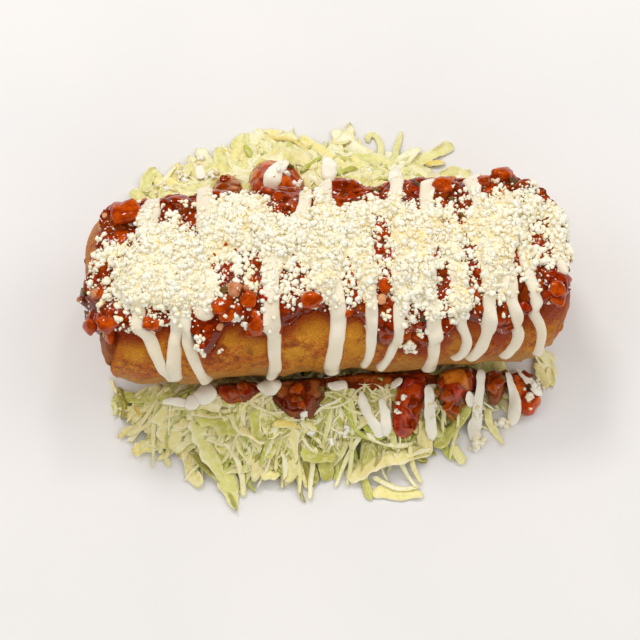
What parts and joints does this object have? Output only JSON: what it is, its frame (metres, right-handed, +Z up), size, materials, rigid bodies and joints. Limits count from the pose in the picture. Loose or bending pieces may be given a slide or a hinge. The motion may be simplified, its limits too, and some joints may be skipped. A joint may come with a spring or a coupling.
{
  "type": "chimichanga",
  "caption": "Deep-fried tortilla roll on a bed of shredded lettuce, topped with chunky tomato salsa, ribbons of crema and crumbled white cheese.",
  "frame": {"origin": "on the flat underside of the lettuce bed, below the middle of the roll", "axes": "+X along the roll towards its right end, +Y towards its back, +Z up through the toppings"},
  "size_m": [0.1941, 0.1736, 0.0809],
  "materials": {
    "fried_tortilla": "golden-brown fried crust with a light sheen of oil",
    "salsa": "wet red salsa",
    "cheese": "dry crumbled white cheese",
    "lettuce": "crisp pale lettuce shreds"
  },
  "bodies": {
    "root": {"fried_tortilla_roll": "fried_tortilla", "salsa_and_crema": "salsa", "crumbled_cheese": "cheese", "lettuce_bed": "lettuce", "fallen_salsa_1": "salsa", "fallen_salsa_2": "salsa", "fallen_salsa_3": "salsa", "fallen_salsa_4": "salsa", "fallen_salsa_5": "salsa", "fallen_salsa_6": "salsa", "fallen_salsa_7": "salsa", "fallen_salsa_8": "salsa"}
  },
  "joints": []
}
